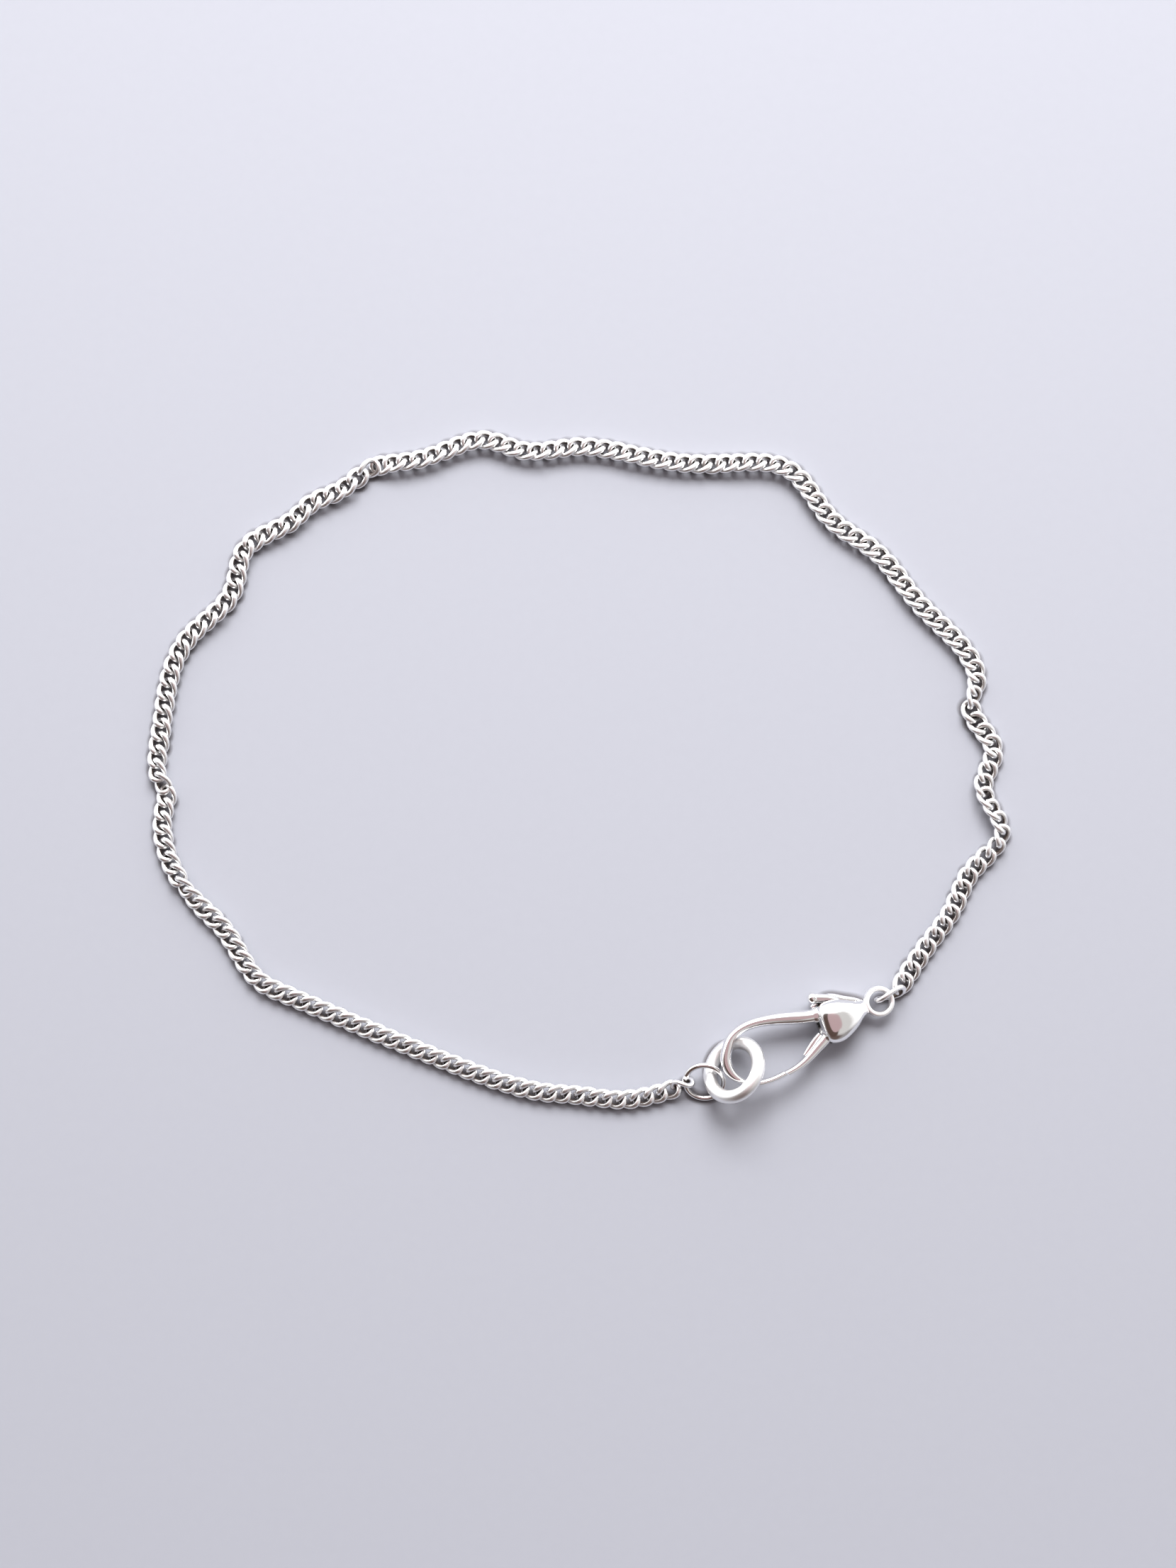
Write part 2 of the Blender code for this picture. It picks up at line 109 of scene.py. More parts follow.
# Shell sections along u: lower edge, upper edge, thickness.
SHELL_SECTIONS = (
    (-0.00674, -0.0013, 0.0008, 0.0013),
    (-0.00660, -0.0019, 0.0013, 0.0022),
    (-0.00630, -0.0024, 0.0016, 0.0029),
    (-0.00580, -0.00266, 0.00175, 0.0034),
    (-0.00510, -0.00273, 0.00176, 0.0036),
    (-0.00440, -0.00258, 0.00164, 0.00356),
    (-0.00360, -0.0022, 0.00138, 0.0032),
    (-0.00280, -0.0017, 0.00104, 0.0026),
    (-0.00220, -0.00122, 0.00076, 0.0020),
    (-0.00180, -0.00095, 0.00064, 0.0015),
    (-0.00130, -0.0007, 0.0006, 0.0010),
)

# Wire sections along each middle line: u, v, width across, thickness.
HOOK_SECTIONS = (
    (-0.0060, 0.00062, 0.00135, 0.0016),
    (-0.0069, 0.00068, 0.00136, 0.0016),
    (-0.0095, 0.00124, 0.00138, 0.0015),
    (-0.0122, 0.00178, 0.00112, 0.0014),
    (-0.0139, 0.00182, 0.00100, 0.0013),
    (-0.01505, 0.00156, 0.00092, 0.00125),
    (-0.01595, 0.00103, 0.00095, 0.00125),
    (-0.0165, 0.00025, 0.00108, 0.00125),
    (-0.01692, -0.00054, 0.00112, 0.00125),
    (-0.01705, -0.00144, 0.00112, 0.00125),
    (-0.01687, -0.0023, 0.0010, 0.0012),
    (-0.0164, -0.00307, 0.00085, 0.0012),
    (-0.0153, -0.00385, 0.00072, 0.00115),
    (-0.0139, -0.00415, 0.00066, 0.0011),
    (-0.0126, -0.00412, 0.00066, 0.0011),
    (-0.0110, -0.00385, 0.00066, 0.0011),
)
GATE_SECTIONS = (
    (-0.0043, 0.0001, 0.0013, 0.0011),
    (-0.0056, -0.0011, 0.00115, 0.0011),
    (-0.0066, -0.00195, 0.0011, 0.0011),
    (-0.0074, -0.00242, 0.00103, 0.0011),
    (-0.00827, -0.00293, 0.00092, 0.00105),
    (-0.0097, -0.00362, 0.00076, 0.0010),
    (-0.0108, -0.00392, 0.00068, 0.0010),
    (-0.0120, -0.00408, 0.00064, 0.0010),
)
TRIGGER_SECTIONS = (
    (-0.0043, 0.0001, 0.0013, 0.0011),
    (-0.00415, 0.0009, 0.0010, 0.0011),
    (-0.0047, 0.0017, 0.00092, 0.0011),
    (-0.0056, 0.0021, 0.0010, 0.0011),
    (-0.0064, 0.00238, 0.00108, 0.0011),
)
KNOB_AT = (-0.00650, 0.00243)
KNOB_SIZE = (0.00122, 0.00122, 0.00130)
GUARD_SECTIONS = (
    (-0.0067, 0.00142, 0.0006, 0.00066),
    (-0.0059, 0.0017, 0.0009, 0.00076),
    (-0.0050, 0.00181, 0.0012, 0.00078),
    (-0.0035, 0.00125, 0.0011, 0.00078),
    (-0.0020, 0.00062, 0.0008, 0.00070),
    (-0.0014, 0.0003, 0.0005, 0.00050),
)
GUARD_LEVEL = -0.0011
FLANGE_SECTIONS = (
    (-0.0091, -0.00285, 0.0004, 0.0005),
    (-0.0084, -0.00238, 0.0006, 0.0005),
    (-0.0076, -0.00178, 0.00062, 0.0005),
    (-0.0069, -0.00130, 0.0005, 0.0005),
)
FLANGE_LEVEL = -0.00024
COLLAR_SECTIONS = (
    (-0.00705, 0.00069, 0.00150, 0.00172),
    (-0.0068, 0.00067, 0.00160, 0.00182),
    (-0.0064, 0.00064, 0.00160, 0.00182),
)
TIP_MEETING_POINT = (-0.01153, -0.00398)
TIP_MEETING_ANGLE = 38.0
TIP_GAP = 0.00012
TIP_REACH = 0.0020
NECK_CREASE = 0.00008
NECK_CORE = 0.30  # share of the eye's thickness that the crease leaves on each side
REST_BLOCK = (0.06, 0.06, 0.02)
PIN_AT = (-0.0043, 0.0001)
PIN_RADIUS = 0.00035
PIN_CLEARANCE = 0.0001
PIN_REACH = 0.00125
HUB_RADIUS = 0.00092
HUB_HALF = 0.00055
HUB_BORE_REACH = 0.0011
DIMPLE_OFFSET = (0.0001, -0.00022)
DIMPLE_HEIGHT = 0.00108
DIMPLE_RADIUS = 0.00050
SLOT_WIDTH = 0.0014
SLOT_OUTLINE = (
    (-0.0074, 0.00245), (-0.00565, 0.0007), (-0.00565, 0.00038), (-0.0076, -0.00034),
    (-0.0076, -0.0038), (-0.00512, -0.00166), (-0.0044, -0.00105), (-0.0037, -0.0009),
    (-0.0032, -0.0004), (-0.0031, 0.0003), (-0.0024, 0.0008), (-0.0021, 0.0028),
    (-0.0074, 0.0028),
)

SHARP_ANGLE = 35.0  # edges that turn by more degrees than this stay sharp
ALL_SMOOTH = 180

# Finish: noise scales, and each set of scratches as a turn and a stretch.
SMUDGE_SCALE = 420.0
GRAIN_SCALE = 2600.0
FINE_SCRATCHES = ((0.3, 0.2, 0.9), (9000.0, 700.0, 700.0))
CROSS_SCRATCHES = ((1.1, 0.5, -0.6), (8000.0, 600.0, 600.0))
DRAWN_LINES = ((0.0, 0.0, 0.0), (3000.0, 3000.0, 300.0))
SCRATCH_DEPTH = 0.00002
SMUDGE_COLOUR = (0.84, 0.78, 0.74)
EYE_SATIN_REACH = 0.0019

# Stage: the floor's colour is darkened towards a dark brown where little open air reaches it, a
# painted contact shadow; the key is a large soft box.
FLOOR_HALF = 1.2
PAINTED_SHADOW_REACH = 0.0006
PAINTED_SHADOW_STRENGTH = 2.8
PAINTED_CONTACT_SHADOW_COLOUR = (0.035, 0.025, 0.025)
KEY_AT = (0.03, 0.35, 0.37)
KEY_SIZE = (0.36, 0.26)
KEY_WATTS = 5.5
CAMERA_AT = (0.0012, -0.0232, 0.2442)
CAMERA_TARGET = (0.0012, -0.0019, 0.0009)

# The tent's lowest colour, then its cones, each over the last: the axis, the angles from it
# at which the cone begins and is full, and its colour.
SKY_BELOW = (0.32, 0.30, 0.30)
SKY_CONES = (
    ((0.1, 1.0, 0.25), 112.0, 50.0, (2.6, 2.6, 2.62)),
    ((-0.10, -1.0, 0.70), 40.0, 26.0, (0.13, 0.09, 0.08)),
    ((0.50, -0.16, 1.0), 45.0, 28.0, (0.66, 0.64, 0.63)),
    ((-0.45, -0.46, 1.0), 40.0, 35.0, (0.10, 0.065, 0.055)),
    ((-0.05, -0.10, 1.0), 26.0, 24.0, (0.52, 0.37, 0.38)),
)


def size(name, default, description):
    return FloatProperty(
        name=name, description=description, default=default, min=0.0, unit="LENGTH", precision=5
    )


def share(name, default, description):
    return FloatProperty(
        name=name, description=description, default=default, min=0.0, max=1.0, subtype="FACTOR"
    )


def colour(name, default, description):
    return FloatVectorProperty(
        name=name, description=description, default=default, size=3, min=0.0, max=1.0,
        subtype="COLOR",
    )


def angle(name, degrees, description):
    return FloatProperty(
        name=name, description=description, default=math.radians(degrees), subtype="ANGLE"
    )


class AnkletChainSizes(bpy.types.PropertyGroup):
    link_pitch: size("Link pitch", 0.00143, "Distance from one link's middle to the next one's")
    link_length: size("Link length", 0.00269, "Outside length of a link")
    link_width: size("Link width", 0.00230, "Outside width of a link")
    link_wire: size("Link wire", 0.00064, "Thickness of the links' wire")
    link_twist: angle("Link twist", 47.0, "Turn of a link's end against its middle")
    link_fullness: FloatProperty(
        name="Link fullness", description="2 is an ellipse, more is fuller at the corners",
        default=2.3, min=2.0, max=4.0,
    )
    link_facet: size("Facet height", 0.00056, "Half thickness at which the links are ground flat")
    jitter: share("Looseness", 0.35, "How unevenly the links lie")
    seed: IntProperty(name="Seed", description="Start of the random places", default=7, min=0)


class AnkletClaspSizes(bpy.types.PropertyGroup):
    shell_squareness: FloatProperty(
        name="Shell squareness", description="2 is an ellipse, more is fuller at the corners",
        default=2.7, min=2.0, max=4.0,
    )
    eye_outer: size("Eye", 0.0032, "Outside diameter of the clasp's eye")
    eye_hole: size("Eye hole", 0.0021, "Diameter of the hole in the eye")
    eye_thickness: size("Eye thickness", 0.00095, "Thickness of the eye")


class AnkletSilver(bpy.types.PropertyGroup):
    silver: colour("Silver", (0.94, 0.94, 0.94), "Clean polished silver")
    # The hollow colour is dark oxidised silver and painted shade in the links' and rings'
    # hollows.
    hollow_tarnish_and_shade: colour("Tarnish", (0.05, 0.032, 0.026), "Dark oxide in the hollows")
    polish: share("Roughness", 0.10, "Roughness of the polished castings")


class AnkletStage(bpy.types.PropertyGroup):
    floor: colour("Floor", (0.27, 0.275, 0.31), "Colour of the plain floor")
    lens: FloatProperty(name="Lens", description="Focal length in millimetres", default=54.0)


SETTINGS = {
    "anklet_chain": AnkletChainSizes,
    "anklet_clasp": AnkletClaspSizes,
    "anklet_silver": AnkletSilver,
    "anklet_stage": AnkletStage,
}


# Curves


def chord_distances(points):
    steps = np.linalg.norm(np.diff(points[:, :2], axis=0), axis=1)
    return np.concatenate([[0.0], np.cumsum(steps)])


def smooth_curve(points, at):
    """Natural cubic spline through the points, read at distances measured along their chords."""
    points = np.array(points, float)
    knots = chord_distances(points)
    gaps = np.diff(knots)
    system = np.eye(len(points))
    rates = np.zeros_like(points)
    slopes = np.diff(points, axis=0) / gaps[:, None]
    for i in range(1, len(points) - 1):
        system[i, i - 1 : i + 2] = gaps[i - 1], 2 * (gaps[i - 1] + gaps[i]), gaps[i]
        rates[i] = 6 * (slopes[i] - slopes[i - 1])
    bends = np.linalg.solve(system, rates)
    span = np.clip(np.searchsorted(knots, at) - 1, 0, len(gaps) - 1)
    gap = gaps[span][:, None]
    before = (at - knots[span])[:, None]
    after = gap - before
    cubic = bends[span] * after**3 + bends[span + 1] * before**3
    straight = points[span] * after + points[span + 1] * before
    pull = (bends[span] * after + bends[span + 1] * before) * gap
    return cubic / (6 * gap) + straight / gap - pull / 6


def fine_curve(points):
    """The smooth curve through the points, read finely, and the distance run at each place."""
    end = chord_distances(np.array(points, float))[-1]
    fine = smooth_curve(points, np.linspace(0.0, end, 60 * len(points)))
    return fine, chord_distances(fine)


def evenly_along(points, count):
    """The smooth curve through the points, read at evenly spaced distances along it."""
    fine, run = fine_curve(points)
    places = np.linspace(0.0, run[-1], count)
    return np.stack([np.interp(places, run, column) for column in fine.T], axis=1)


# Meshes


def finished(name, bm, finish, smooth_angle=SHARP_ANGLE):
    """Makes the bmesh an object at the origin, its normals outwards and its sides smooth."""
    bmesh.ops.remove_doubles(bm, verts=bm.verts, dist=1e-7)
    bmesh.ops.recalc_face_normals(bm, faces=bm.faces)
    mesh = bpy.data.meshes.new(name)
    bm.to_mesh(mesh)
    bm.free()
    piece = bpy.data.objects.new(name, mesh)
    bpy.context.scene.collection.objects.link(piece)
    mesh.shade_smooth()
    mesh.set_sharp_from_angle(angle=math.radians(smooth_angle))
    if finish:
        mesh.materials.append(finish)
    return piece


def edges_at(verts):
    """The edges that meet these vertices, each once, in the vertices' order."""
    return list(dict.fromkeys(edge for vert in verts for edge in vert.link_edges))


def ring_bmesh(radius, wire, around, sides):
    """A round wire bent to a ring about +Z; `recess` marks the side that faces its middle."""
    bm = bmesh.new()
    place = Matrix.Translation((radius, 0.0, 0.0)) @ Matrix.Rotation(math.pi / 2, 4, "X")
    circle = bmesh.ops.create_circle(bm, segments=sides, radius=wire, matrix=place)
    bmesh.ops.spin(
        bm, geom=edges_at(circle["verts"]), cent=(0.0, 0.0, 0.0),
        axis=(0.0, 0.0, 1.0), angle=2 * math.pi,
        steps=around, use_merge=True,
    )
    recess = bm.verts.layers.float.new("recess")
    for vert in bm.verts:
        inward = (radius - math.hypot(vert.co.x, vert.co.y)) / wire
        vert[recess] = max(0.0, inward)
    return bm


def link_bmesh(length, width, wire, turns, around, sides, fullness=2.0):
    """An oval link lying along X, twisted from one end's turn to the other's."""
    radius = (length - wire) / 2
    half_width = (width - wire) / 2
    bm = ring_bmesh(radius, wire / 2, around, sides)
    first, last = (math.radians(turn) for turn in turns)
    for vert in bm.verts:
        reach = math.hypot(vert.co.x, vert.co.y)
        along, across = vert.co.x / reach, vert.co.y / reach
        x = radius * math.copysign(abs(along) ** (2 / fullness), along)
        y = half_width * math.copysign(abs(across) ** (2 / fullness), across)
        flat = Vector((0.0, y + (reach - radius) * across, vert.co.z))
        turn = first + (last - first) * (x / (2 * radius) + 0.5)
        vert.co = Matrix.Rotation(turn, 3, "X") @ flat
        vert.co.x += x + (reach - radius) * along
    return bm


def loft(bm, stations, sides, squareness=2.0):
    """A closed skin that carries one rounded section from station to station, each a matrix."""
    verts = bmesh.ops.create_circle(bm, segments=sides, radius=1.0)["verts"]
    for vert in verts:
        vert.co.x = math.copysign(abs(vert.co.x) ** (2 / squareness), vert.co.x)
        vert.co.y = math.copysign(abs(vert.co.y) ** (2 / squareness), vert.co.y)
    edges = edges_at(verts)
    bmesh.ops.transform(bm, matrix=stations[0], verts=verts)
    bmesh.ops.contextual_create(bm, geom=edges)
    for before, after in zip(stations, stations[1:]):
        grown = bmesh.ops.extrude_edge_only(bm, edges=edges)["geom"]
        verts = [item for item in grown if isinstance(item, bmesh.types.BMVert)]
        ends = set(verts)
        edges = [
            item for item in grown
            if isinstance(item, bmesh.types.BMEdge) and ends.issuperset(item.verts)
        ]
        bmesh.ops.transform(bm, matrix=after @ before.inverted(), verts=verts)
    bmesh.ops.contextual_create(bm, geom=edges)


def wire_stations(sections, steps):
    """Stations square to a flat wire's middle, from its table of u, v, width and thickness."""
    rows = evenly_along(sections, steps)
    headings = np.gradient(rows[:, :2], axis=0)
    stations = []
    for (u, v, width, thickness), (along_u, along_v) in zip(rows, headings):
        along = Vector((along_u, along_v, 0.0)).normalized()
        across = Vector((-along.y, along.x, 0.0))
        turn = Matrix((across, Vector((0.0, 0.0, 1.0)), along)).transposed().to_4x4()
        section = Matrix.Diagonal((width / 2, thickness / 2, 1.0, 1.0))
        stations.append(Matrix.Translation((u, v, 0.0)) @ turn @ section)
    return stations


def keep_side_of_tip(bm, sign):
    """Cuts a wire's end off along the slant where the hook and the gate meet."""
    slant = math.radians(TIP_MEETING_ANGLE)
    facing = Vector((math.cos(slant), math.sin(slant), 0.0))
    point = Vector((*TIP_MEETING_POINT, 0.0))
    near = [vert for vert in bm.verts if (vert.co - point).length < TIP_REACH]
    within = set(near)
    edges = [edge for edge in bm.edges if within.issuperset(edge.verts)]
    faces = [face for face in bm.faces if within.issuperset(face.verts)]
    cut = bmesh.ops.bisect_plane(
        bm, geom=near + edges + faces, plane_co=point + facing * sign * TIP_GAP / 2,
        plane_no=-facing * sign, clear_outer=True,
    )
    rim = [item for item in cut["geom_cut"] if isinstance(item, bmesh.types.BMEdge)]
    bmesh.ops.contextual_create(bm, geom=rim)


def combine(piece, steps):
    """Joins or cuts the piece with each helper object in turn, then removes the helpers."""
    for operation, helper in steps:
        modifier = piece.modifiers.new(operation, "BOOLEAN")
        modifier.operation = operation
        modifier.solver = "EXACT"
        modifier.object = helper
    graph = bpy.context.evaluated_depsgraph_get()
    mesh = bpy.data.meshes.new_from_object(piece.evaluated_get(graph))
    piece.modifiers.clear()
    piece.data = mesh
    for _, helper in steps:
        bpy.data.objects.remove(helper)
    mesh.shade_smooth()
    mesh.set_sharp_from_angle(angle=math.radians(SHARP_ANGLE))


def place_mesh(piece, matrix):
    piece.data.transform(matrix)


def cylinder(name, radius, bottom, top, centre=(0.0, 0.0), sides=64):
    bm = bmesh.new()
    place = Matrix.Translation((centre[0], centre[1], (bottom + top) / 2))
    bmesh.ops.create_cone(
        bm, cap_ends=True, segments=sides, radius1=radius, radius2=radius,
        depth=top - bottom, matrix=place,
    )
    return finished(name, bm, None)


def leaning(ring, at):
    """Where a leaning ring lies, with its low side on the surface."""
    lean = math.radians(ring["lean"])
    height = ring["wire"] + ring["radius"] * math.sin(lean)
    turn = Matrix.Rotation(math.radians(ring["low_side"]), 4, "Z")
    return Matrix.Translation((*at, height)) @ turn @ Matrix.Rotation(lean, 4, "Y")


def link_place(place):
    heading = Matrix.Rotation(math.radians(place["heading"]), 4, "Z")
    slope = Matrix.Rotation(-math.radians(place["slope"]), 4, "Y")
    return Matrix.Translation(place["centre"]) @ heading @ slope


def clasp_place():
    turn = Matrix.Rotation(math.radians(CLASP_HEADING), 4, "Z")
    lift = Matrix.Rotation(math.radians(CLASP_NOSE_LIFT), 4, "Y")
    return Matrix.Translation(CLASP_EYE_AT) @ turn @ lift


# Finishes


class Wire:
    """A shader socket that takes part in arithmetic; each operator adds a Math node."""

    def __init__(self, finish, socket):
        self.finish = finish
        self.socket = socket

    def math(self, operation, first, second=0.0):
        node = self.finish.node("ShaderNodeMath", {"operation": operation}, {0: first, 1: second})
        return Wire(self.finish, node.outputs[0])

    def __add__(self, other):
        return self.math("ADD", self, other)

    def __radd__(self, other):
        return self.math("ADD", other, self)

    def __sub__(self, other):
        return self.math("SUBTRACT", self, other)

    def __rsub__(self, other):
        return self.math("SUBTRACT", other, self)

    def __mul__(self, other):
        return self.math("MULTIPLY", self, other)

    def __rmul__(self, other):
        return self.math("MULTIPLY", other, self)

    def __pow__(self, other):
        return self.math("POWER", self, other)

    def clipped(self):
        return self.math("MINIMUM", self.math("MAXIMUM", self, 0.0), 1.0)


class Nodes:
    """A node tree under construction."""

    def __init__(self, tree):
        self.tree = tree

    def node(self, kind, settings, inputs):
        made = self.tree.nodes.new(kind)
        for key, value in settings.items():
            setattr(made, key, value)
        for key, value in inputs.items():
            self.plug(made.inputs[key], value)
        return made

    def plug(self, socket, value):
        if isinstance(value, Wire):
            self.tree.links.new(value.socket, socket)
        else:
            socket.default_value = value

    def wire(self, kind, settings, inputs, output=0):
        return Wire(self, self.node(kind, settings, inputs).outputs[output])

    def place(self):
        return self.wire("ShaderNodeTexCoord", {}, {}, "Object")

    def noise(self, place, scale, detail=3.0, roughness=0.5):
        inputs = {"Vector": place, "Scale": scale, "Detail": detail, "Roughness": roughness}
        return self.wire("ShaderNodeTexNoise", {}, inputs, "Fac")

    def attribute(self, name):
        return self.wire("ShaderNodeAttribute", {"attribute_name": name}, {}, "Fac")

    def mix(self, share_of_second, first, second):
        settings = {"data_type": "RGBA"}
        node = self.node("ShaderNodeMix", settings, {0: share_of_second})
        self.plug(node.inputs[6], first)
        self.plug(node.inputs[7], second)
        return Wire(self, node.outputs[2])

    def stretched(self, place, turn, stretch):
        inputs = {"Rotation": turn, "Scale": stretch, "Vector": place}
        return self.wire("ShaderNodeMapping", {"vector_type": "POINT"}, inputs, 0)

    def bump(self, height, strength, distance):
        inputs = {"Height": height, "Strength": strength, "Distance": distance}
        return self.wire("ShaderNodeBump", {}, inputs, 0)


class Finish(Nodes):
    """A material under construction."""

    def __init__(self, name):
        self.material = bpy.data.materials.new(name)
        self.material.use_nodes = True
        super().__init__(self.material.node_tree)
        self.shader = self.tree.nodes["Principled BSDF"]


def opaque(rgb):
    return (*rgb, 1.0)


def silver_finish(name, roughness, hollow_dark, scratch, satin_near=None):
    """Silver with smudges, fine scratches, and a dark tint where `recess` says that it is
    sheltered, partly oxidised silver and partly painted shade.
    """
    colours = bpy.context.scene.anklet_silver
    finish = Finish(name)
    finish.shader.inputs["Metallic"].default_value = 1.0
    place = finish.place()
    smudge = finish.noise(place, SMUDGE_SCALE, 4.0, 0.6)
    grain = finish.noise(place, GRAIN_SCALE, 3.0, 0.55)
    fine_scratch = finish.noise(finish.stretched(place, *FINE_SCRATCHES), 1.0, 2.0)
    cross_scratch = finish.noise(finish.stretched(place, *CROSS_SCRATCHES), 1.0, 2.0)
    sheltered = finish.attribute("recess")
    # The dark hollow tint is partly oxidised silver and partly painted shade, darkest on the
    # sides of links and rings that face their middles.
    oxide_and_painted_shade = ((sheltered * 2.4 + grain * 0.6 - 1.5) * hollow_dark).clipped()
    silver_with_hollow_shade = finish.mix(oxide_and_painted_shade, opaque(colours.silver), opaque(colours.hollow_tarnish_and_shade))
    smudged = finish.mix(smudge * 0.12, silver_with_hollow_shade, opaque(SMUDGE_COLOUR))
    finish.plug(finish.shader.inputs["Base Color"], smudged)
    roughness = smudge * 0.10 + (oxide_and_painted_shade * 0.25 + (roughness - 0.03))
    if satin_near:
        middle, reach = satin_near
        settings = {"operation": "DISTANCE"}
        away = finish.wire("ShaderNodeVectorMath", settings, {0: place, 1: middle}, "Value")
        roughness = roughness + ((reach - away) * 4000.0).clipped() * 0.28
    finish.plug(finish.shader.inputs["Roughness"], roughness.clipped())
    height = fine_scratch * 0.5 + cross_scratch * 0.5 + grain * 0.6
    finish.plug(finish.shader.inputs["Normal"], finish.bump(height, scratch, SCRATCH_DEPTH))
    return finish.material


def chain_finish():
    polish = bpy.context.scene.anklet_silver.polish
    return silver_finish("polished_link_silver", polish + 0.18, 1.3, 0.10)


def clasp_finish():
    polish = bpy.context.scene.anklet_silver.polish
    satin_eye = (CLASP_EYE_AT, EYE_SATIN_REACH)
    return silver_finish("polished_cast_silver", polish, 0.6, 0.08, satin_eye)


def ring_finish():
    return silver_finish("satin_ring_silver", 0.36, 0.35, 0.12)


def pin_finish():
    finish = Finish("drawn_pin_silver")
    finish.shader.inputs["Metallic"].default_value = 1.0
    place = finish.place()
    drawn = finish.noise(finish.stretched(place, *DRAWN_LINES), 1.0)
    shade = finish.mix(drawn, opaque((0.62, 0.60, 0.57)), opaque((0.78, 0.77, 0.75)))
    finish.plug(finish.shader.inputs["Base Color"], shade)
    finish.plug(finish.shader.inputs["Roughness"], drawn * 0.2 + 0.22)
    return finish.material


# Pieces


def curb_link_bmesh(sizes):
    """One coarse curb link lying along X, its two faces ground flat."""
    wire = sizes.link_wire / SECTION_SHRINK
    length, width = (
        (outside - sizes.link_wire) / OVAL_SHRINK + wire
        for outside in (sizes.link_length, sizes.link_width)
    )
    twist = math.degrees(sizes.link_twist)
    link = link_bmesh(length, width, wire, (twist, -twist), 12, 6, sizes.link_fullness)
    for vert in link.verts:
        over = abs(vert.co.z) - sizes.link_facet
        if over > 0:
            vert.co.z = math.copysign(sizes.link_facet + FACET_SQUASH * over, vert.co.z)
    return link


def chain_bmesh(sizes):
    """Every link of the chain, one after another along the route, resting on the surface."""
    link = curb_link_bmesh(sizes)
    pattern = bpy.data.meshes.new("link_pattern")
    link.to_mesh(pattern)
    section = np.array([(vert.co.y, vert.co.z) for vert in link.verts])
    link.free()
    fine, run = fine_curve(CHAIN_ROUTE)
    links = round((run[-1] - FIRST_LINK_AT) / sizes.link_pitch)
    dice = np.random.default_rng(sizes.seed)
    bm = bmesh.new()
    stops, rolls = zip(*CHAIN_ROLL)
    for at in np.linspace(FIRST_LINK_AT, run[-1], links + 1):
        x, y = (np.interp(at, run, fine[:, axis]) for axis in (0, 1))
        ahead, behind = (
            [np.interp(at + step, run, fine[:, axis]) for axis in (0, 1)]
            for step in (HEADING_REACH, -HEADING_REACH)
        )
        heading = math.atan2(ahead[1] - behind[1], ahead[0] - behind[0])
        loose = sizes.jitter * dice.normal(size=4)
        roll = math.radians(np.interp(at, stops, rolls) + LOOSE_ROLL * loose[0])
        low = (section[:, 0] * math.sin(roll) + section[:, 1] * math.cos(roll)).min()
        place = (
            Matrix.Translation((x, y, LOOSE_LIFT * abs(loose[1]) - low))
            @ Matrix.Rotation(heading + math.radians(LOOSE_HEADING) * loose[2], 4, "Z")
            @ Matrix.Rotation(math.radians(LOOSE_SLOPE) * loose[3], 4, "Y")
            @ Matrix.Rotation(roll, 4, "X")
        )
        bm.from_mesh(pattern)
        bm.verts.ensure_lookup_table()
        bmesh.ops.transform(bm, matrix=place, verts=bm.verts[-len(section):])
    bpy.data.meshes.remove(pattern)
    return bm


def subdivided(piece, levels):
    modifier = piece.modifiers.new("round", "SUBSURF")
    modifier.levels = levels
    modifier.render_levels = levels


def shell_bmesh(squareness):
    rows = np.array(SHELL_SECTIONS)
    stations = []
    for u, low, high, thickness in smooth_rows(rows, 48):
        turn = Matrix(((0, 0, 1), (1, 0, 0), (0, 1, 0))).to_4x4()
        section = Matrix.Diagonal(((high - low) / 2, thickness / 2, 1.0, 1.0))
        stations.append(Matrix.Translation((u, (low + high) / 2, 0.0)) @ turn @ section)
    bm = bmesh.new()
    loft(bm, stations, 56, squareness)
    return bm


def smooth_rows(rows, count):
    """A table of sections read more finely, measured along its lower edge."""
    steps = np.linalg.norm(np.diff(rows[:, :2], axis=0), axis=1)
    run = np.concatenate([[0.0], np.cumsum(steps)])
    places = np.linspace(0.0, run[-1], count)
    table = np.column_stack([run, np.zeros(len(run)), rows])
    return smooth_curve(table, places)[:, 2:]


def slot_object():
    bm = bmesh.new()
    corners = []
    for u, v in SLOT_OUTLINE:
        corners += bmesh.ops.create_vert(bm, co=(u, v, -SLOT_WIDTH / 2))["vert"]
    sides = zip(corners, corners[1:] + corners[:1])
    edges = [bmesh.ops.contextual_create(bm, geom=ends)["edges"][0] for ends in sides]
    faces = bmesh.ops.contextual_create(bm, geom=edges)["faces"]
    grown = bmesh.ops.extrude_face_region(bm, geom=faces)["geom"]
    moved = [item for item in grown if isinstance(item, bmesh.types.BMVert)]
    bmesh.ops.translate(bm, vec=(0.0, 0.0, SLOT_WIDTH), verts=moved)
    return finished("slot", bm, None)


def eye_object(sizes):
    """The eye: a flat ring with well rounded edges."""
    half = sizes.eye_thickness / 2
    middle = (sizes.eye_outer + sizes.eye_hole) / 4
    wide = (sizes.eye_outer - sizes.eye_hole) / 4
    bm = bmesh.new()
    place = Matrix.Translation((middle, 0.0, 0.0)) @ Matrix.Rotation(math.pi / 2, 4, "X")
    circle = bmesh.ops.create_circle(bm, segments=28, radius=1.0)
    for vert in circle["verts"]:
        vert.co.x = wide * math.copysign(abs(vert.co.x) ** (2 / 3.2), vert.co.x)
        vert.co.y = half * math.copysign(abs(vert.co.y) ** (2 / 3.2), vert.co.y)
    bmesh.ops.transform(bm, matrix=place, verts=circle["verts"])
    bmesh.ops.spin(
        bm, geom=edges_at(circle["verts"]), cent=(0.0, 0.0, 0.0),
        axis=(0.0, 0.0, 1.0), angle=2 * math.pi,
        steps=72, use_merge=True,
    )
    return finished("eye", bm, None)


